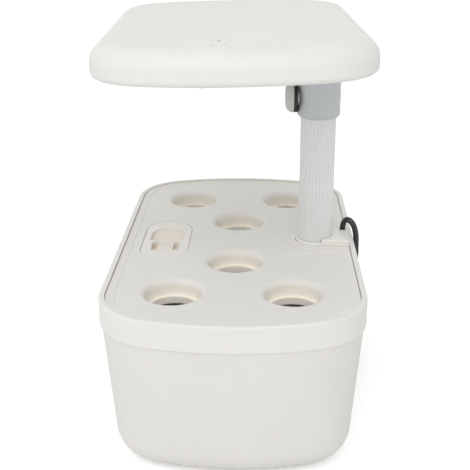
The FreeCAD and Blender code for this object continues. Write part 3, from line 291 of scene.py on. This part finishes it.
def cord_route():
    """Out of the grommet, over the rim, down the right wall and along the floor to the rear."""
    return [
        (EXIT.x, EXIT.y, EXIT.z),
        (EXIT.x + 0.0002, 0.0139, DECK_TOP + 0.0100),
        (EXIT.x + 0.0030, 0.0120, DECK_TOP + 0.0152),
        (EXIT.x + 0.0078, 0.0096, DECK_TOP + 0.0136),
        (CORD_X - 0.0005, 0.0076, DECK_TOP + 0.0050),
        (CORD_X, 0.0064, DECK_TOP - 0.0080),
        (CORD_X - 0.0002, 0.0056, DECK_TOP - 0.0240),
        (CORD_X - 0.0008, 0.0052, 0.0780),
        (CORD_X - 0.0012, 0.0062, 0.0480),
        (CORD_X - 0.0016, 0.0095, 0.0240),
        (CORD_X - 0.0020, 0.0200, 0.0070),
        (CORD_X - 0.0025, 0.0370, CORD_Z),
        (CORD_X - 0.0028, 0.0660, CORD_Z),
        (CORD_X - 0.0016, 0.1000, CORD_Z),
        (CORD_X - 0.0024, REAR_SIDE - 0.0410, CORD_Z),
        (CORD_X - 0.0094, REAR_SIDE - 0.0160, CORD_Z),
        (CORD_X - 0.0254, REAR_SIDE - 0.0010, CORD_Z + 0.0004),
        (CORD_X - 0.0474, COIL_Y, COIL_Z),
        (COIL_X + COIL_START, COIL_Y, COIL_Z),
    ]


def coil_turns():
    """Half turns that wind inwards, climb one layer and wind out again."""
    inward = [COIL_R - COIL_PITCH / 2 * k for k in range(COIL_HALF_TURNS)]
    climb = inward[-1] - COIL_PITCH / 2
    outward = list(reversed(inward[1:]))
    swell = 1 / math.cos(math.pi / (2 * COIL_HALF_POINTS))
    points = []
    y = COIL_Y
    z = COIL_Z
    side = 1
    for index, r in enumerate(inward + [climb] + outward):
        rise = COIL_PITCH if index == COIL_HALF_TURNS else 0.0
        middle = y + side * r
        for step in range(COIL_HALF_POINTS):
            share = (step + 0.5) / COIL_HALF_POINTS
            angle = math.pi * share
            x = COIL_X - side * r * swell * math.sin(angle)
            points.append((x, middle - side * r * swell * math.cos(angle), z + rise * share))
        y += side * 2 * r
        z += rise
        side = -side
    points.append((COIL_X, y, z))
    points.append((COIL_X - COIL_END, y, z))
    return points


def power_cord(material):
    curve = bpy.data.curves.new("mains_cord", "CURVE")
    curve.dimensions = "3D"
    curve.bevel_depth = CORD_R
    curve.bevel_resolution = 8
    curve.resolution_u = 12
    curve.use_fill_caps = True
    points = cord_route() + coil_turns()
    spline = curve.splines.new("NURBS")
    spline.points.add(len(points) - 1)
    for point, place in zip(spline.points, points):
        point.co = (*place, 1.0)
    spline.order_u = 3
    spline.use_endpoint_u = True
    made = bpy.data.objects.new("mains_cord", curve)
    bpy.context.collection.objects.link(made)
    curve.materials.append(material)
    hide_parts("power_cord", "cord_coil")
    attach(made, "base")


def floor():
    """Pale floor that keeps the garden's shadow and looks white to the camera."""
    mesh = bpy.data.meshes.new("floor")
    signs = ((-1, -1), (1, -1), (1, 1), (-1, 1))
    corners = [(FLOOR_HALF * x, FLOOR_HALF * y, 0) for x, y in signs]
    mesh.from_pydata(corners, [], [(0, 1, 2, 3)])
    made = bpy.data.objects.new("floor", mesh)
    made.location.z = -FLOOR_DROP
    bpy.context.collection.objects.link(made)
    material, nodes, links, shader, place = new_material("pale_floor")
    cloud = noise(nodes, links, place, FLOOR_SCALE)
    share = spread(nodes, links, cloud, NOISE_RANGE, 0.0, 1.0)
    pale = blended(nodes, links, share, (0.90, 0.90, 0.90), (0.92, 0.92, 0.92))
    links.new(pale, shader.inputs["Base Color"])
    shader.inputs["Roughness"].default_value = 0.9
    path = nodes.new("ShaderNodeLightPath")
    seen = nodes.new("ShaderNodeMixShader")
    links.new(path.outputs["Is Camera Ray"], seen.inputs["Fac"])
    for socket, strength in ((seen.inputs[1], 0.0), (seen.inputs[2], FLOOR_GLOW)):
        glow = nodes.new("ShaderNodeEmission")
        glow.inputs["Strength"].default_value = strength
        links.new(glow.outputs["Emission"], socket)
    both = nodes.new("ShaderNodeAddShader")
    links.new(shader.outputs["BSDF"], both.inputs[0])
    links.new(seen.outputs["Shader"], both.inputs[1])
    links.new(both.outputs["Shader"], nodes["Material Output"].inputs["Surface"])
    mesh.materials.append(material)


def world():
    """Soft room, with a white backdrop to the camera and in reflections and glass."""
    made = bpy.data.worlds.new("studio")
    bpy.context.scene.world = made
    made.use_nodes = True
    nodes = made.node_tree.nodes
    links = made.node_tree.links
    nodes.clear()
    out = nodes.new("ShaderNodeOutputWorld")
    room = nodes.new("ShaderNodeBackground")
    room.inputs["Color"].default_value = (*ROOM_TINT, 1.0)
    towards = nodes.new("ShaderNodeTexCoord")
    parts = nodes.new("ShaderNodeSeparateXYZ")
    links.new(towards.outputs["Generated"], parts.inputs["Vector"])
    level = spread(nodes, links, parts.outputs["X"], (-0.2, 0.9), ROOM_LIGHT, ROOM_RIGHT)
    links.new(level, room.inputs["Strength"])
    white = nodes.new("ShaderNodeBackground")
    white.inputs["Strength"].default_value = 1.0
    white.inputs["Color"].default_value = (1.0, 1.0, 1.0, 1.0)
    path = nodes.new("ShaderNodeLightPath")
    seen = path.outputs["Is Camera Ray"]
    for ray in ("Is Glossy Ray", "Is Transmission Ray"):
        either = nodes.new("ShaderNodeMath")
        either.operation = "MAXIMUM"
        links.new(seen, either.inputs[0])
        links.new(path.outputs[ray], either.inputs[1])
        seen = either.outputs["Value"]
    pick = nodes.new("ShaderNodeMixShader")
    links.new(seen, pick.inputs["Fac"])
    links.new(room.outputs["Background"], pick.inputs[1])
    links.new(white.outputs["Background"], pick.inputs[2])
    links.new(pick.outputs["Shader"], out.inputs["Surface"])


def soft_box(name, place, aim, size, power):
    data = bpy.data.lights.new(name, "AREA")
    data.shape = "RECTANGLE"
    data.size, data.size_y = size
    data.energy = power
    made = bpy.data.objects.new(name, data)
    made.location = place
    direction = Vector(aim) - Vector(place)
    made.rotation_euler = direction.to_track_quat("-Z", "Y").to_euler()
    bpy.context.collection.objects.link(made)


camera()
cord_black = finished("cord_black", BLACK, 0.28, vary=0.25, grain=0.05, grain_scale=1500.0, coat=0.3)
power_cord(cord_black)

# On the white and grey plastic pieces the lighter edges are a painted highlight; on black plastic and
# metal they are rubbed wear
body_white = finished("body_white", IVORY, 0.42, vary=0.02, grain=0.035, edge_wear_and_highlight=0.2)
rim_white = finished("rim_white", RIM_IVORY, 0.36, vary=0.015, grain=0.02, edge_wear_and_highlight=0.3)
# The deck's pod wells take painted warm bounce light below the deck's top
deck_grey = finished("deck_grey", DECK_GREY, 0.60, vary=0.02, grain=0.05, edge_wear_and_highlight=0.4,
                     deep=WELL_BOUNCE_PEACH, deep_from=WELL_BOUNCE_BLEND)
# The lid's scoop takes painted warm shade just below the deck's top
lid_ivory = finished("lid_ivory", DECK_GREY, 0.42, vary=0.015, grain=0.03, edge_wear_and_highlight=0.4,
                     deep=SCOOP_SHADE_CREAM, deep_from=SCOOP_SHADE_BLEND)
cap_white = finished("cap_white", RIM_IVORY, 0.40, vary=0.015, grain=0.03, edge_wear_and_highlight=0.3)
lamp_white = finished("lamp_white", LAMP_WHITE, 0.52, vary=0.012, grain=0.02, edge_wear_and_highlight=0.15)
tube_silver = finished("tube_silver", TUBE_SILVER, 0.34, vary=0.03, grain=0.05, metal=0.3)
collar_silver = finished("collar_silver", SILVER, 0.40, vary=0.04, grain=0.06, metal=0.2, streaks=0.08)
knob_grey = finished("knob_grey", KNOB_GREY, 0.38, vary=0.03, grain=0.03, edge_wear_and_highlight=0.3)
knob_black = finished("knob_black", BLACK, 0.5, vary=0.3, grain=0.08)
inner_white = finished("inner_white", INNER_WHITE, 0.45, vary=0.02, grain=0.05)
plain_silver = finished("plain_silver", BARE_METAL, 0.25, vary=0.03, grain=0.03, metal=1.0, streaks=0.3)
steel = finished("screw_steel", STEEL, 0.3, vary=0.05, grain=0.04, metal=1.0, edge_wear_and_highlight=0.3)
brass = finished("plated_brass", BRASS, 0.25, vary=0.05, grain=0.03, metal=1.0, edge_wear_and_highlight=0.3)
dark_plastic = finished("dark_plastic", DARK, 0.45, vary=0.2, grain=0.12, edge_wear_and_highlight=0.3)
grey_plastic = finished("grey_plastic", GREY, 0.45, vary=0.1, grain=0.08)
rubber = finished("pad_rubber", RUBBER, 0.75, vary=0.2, grain=0.2)
board_green = finished("board_green", BOARD_GREEN, 0.35, vary=0.25, grain=0.06, coat=0.3)
board_white = finished("board_white", BOARD_WHITE, 0.4, vary=0.04, grain=0.03)
chip_yellow = finished("chip_yellow", CHIP_YELLOW, 0.3, vary=0.1, grain=0.03, coat=0.4)
adapter_black = finished("adapter_black", ADAPTER_BLACK, 0.5, vary=0.2, grain=0.2, edge_wear_and_highlight=0.4)
lens_grey = finished("lens_grey", LENS_GREY, 0.15, vary=0.1, grain=0.01, coat=0.5)
diffuser_milk = frosted("diffuser_milk", MILK)

coated(body_white, "tank")
coated(rim_white, "rim_frame")
coated(deck_grey, "deck")
coated(lid_ivory, "refill_lid")
coated(cap_white, "mast_cap")
coated(tube_silver, "outer_tube")
coated(collar_silver, "collar")
coated(knob_grey, "knob_cap")
coated(knob_black, "knob_ring", "stop_ring")
coated(lamp_white, "lamp_top_shell", "power_button")
coated(inner_white, "lamp_base", "lamp_hub", "mast_column")
coated(plain_silver, "inner_tube")
coated(diffuser_milk, "diffuser")
coated(lens_grey, "indicator_lens")
coated(steel, "cap_screws", "hub_screws", "lamp_screws", "clamp_screw", "retaining_ring")
coated(brass, "clamp_nut", "adapter_blades")
coated(grey_plastic, "slide_bush", "clamp_pad", "guide_plug", "swivel_washer", "tube_cap", "pump_rotor")
coated(dark_plastic, "driver_parts", "button_switch", "control_parts", "cord_tie")
coated(dark_plastic, "pump_body", "pump_nozzle", "pump_cover", "pump_screen")
coated(rubber, "tank_feet", "pump_feet")
coated(board_green, "driver_board", "button_board", "control_board")
coated(board_white, "led_board")
coated(chip_yellow, "led_chips")
coated(adapter_black, "cord_grommet", "adapter_relief", "power_adapter")
coated(cord_black, "lamp_lead", "pump_lead")

floor()
world()
soft_box("front_box", (-0.05, -1.80, 1.65), (0.0, 0.0, 0.16), (1.8, 1.2), FRONT_LIGHT)
soft_box("top_box", (0.0, 0.1, 1.9), (0.0, 0.0, 0.2), (2.2, 2.2), TOP_LIGHT)
soft_box("left_box", (-1.7, -0.6, 0.9), (0.0, 0.0, 0.15), (1.2, 1.4), LEFT_LIGHT)

scene = bpy.context.scene
scene.view_settings.view_transform = "Standard"
